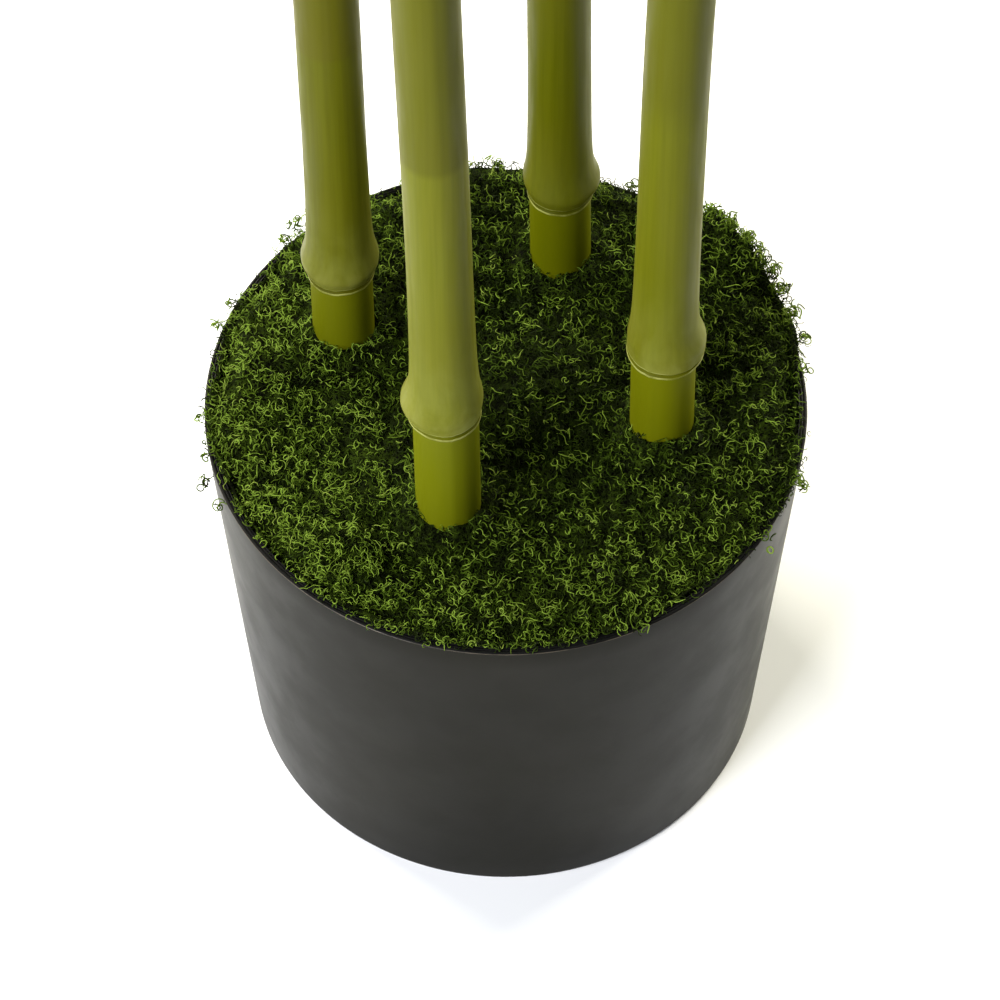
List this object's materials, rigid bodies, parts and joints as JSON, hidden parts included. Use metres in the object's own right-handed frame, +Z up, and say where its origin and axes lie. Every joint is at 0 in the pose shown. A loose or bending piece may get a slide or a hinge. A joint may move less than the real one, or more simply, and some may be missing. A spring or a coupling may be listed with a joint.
{
  "type": "artificial bamboo in pot",
  "caption": "Artificial bamboo: thick jointed canes in a round tapered pot under a mound of curly moss, with side boughs and masses of narrow leaves.",
  "frame": {"origin": "centre of the pot's flat underside", "axes": "+Z up along the canes, -Y towards the viewer of the picture, +X to the right"},
  "size_m": [0.8635, 0.8676, 1.7911],
  "materials": {
    "pot": "satin",
    "fill": "matte",
    "moss": "matte",
    "cane": "satin",
    "bough": "satin",
    "leaf": "matte"
  },
  "bodies": {
    "root": {"pot": "pot", "cement_fill": "fill", "moss": "moss", "cane_1": "cane", "cane_2": "cane", "cane_3": "cane", "cane_4": "cane", "bough_1_1": "bough", "bough_1_2": "bough", "bough_1_3": "bough", "bough_1_4": "bough", "bough_1_5": "bough", "bough_1_6": "bough", "bough_2_1": "bough", "bough_2_2": "bough", "bough_2_3": "bough", "bough_2_4": "bough", "bough_2_5": "bough", "bough_2_6": "bough", "bough_3_1": "bough", "bough_3_2": "bough", "bough_3_3": "bough", "bough_3_4": "bough", "bough_3_5": "bough", "bough_3_6": "bough", "bough_4_1": "bough", "bough_4_2": "bough", "bough_4_3": "bough", "bough_4_4": "bough", "bough_4_5": "bough", "bough_4_6": "bough", "foliage_1_1": "leaf", "foliage_1_2": "leaf", "foliage_1_3": "leaf", "foliage_1_4": "leaf", "foliage_1_5": "leaf", "foliage_1_6": "leaf", "foliage_1_top": "leaf", "foliage_2_1": "leaf", "foliage_2_2": "leaf", "foliage_2_3": "leaf", "foliage_2_4": "leaf", "foliage_2_5": "leaf", "foliage_2_6": "leaf", "foliage_2_top": "leaf", "foliage_3_1": "leaf", "foliage_3_2": "leaf", "foliage_3_3": "leaf", "foliage_3_4": "leaf", "foliage_3_5": "leaf", "foliage_3_6": "leaf", "foliage_3_top": "leaf", "foliage_4_1": "leaf", "foliage_4_2": "leaf", "foliage_4_3": "leaf", "foliage_4_4": "leaf", "foliage_4_5": "leaf", "foliage_4_6": "leaf", "foliage_4_top": "leaf"}
  },
  "joints": []
}
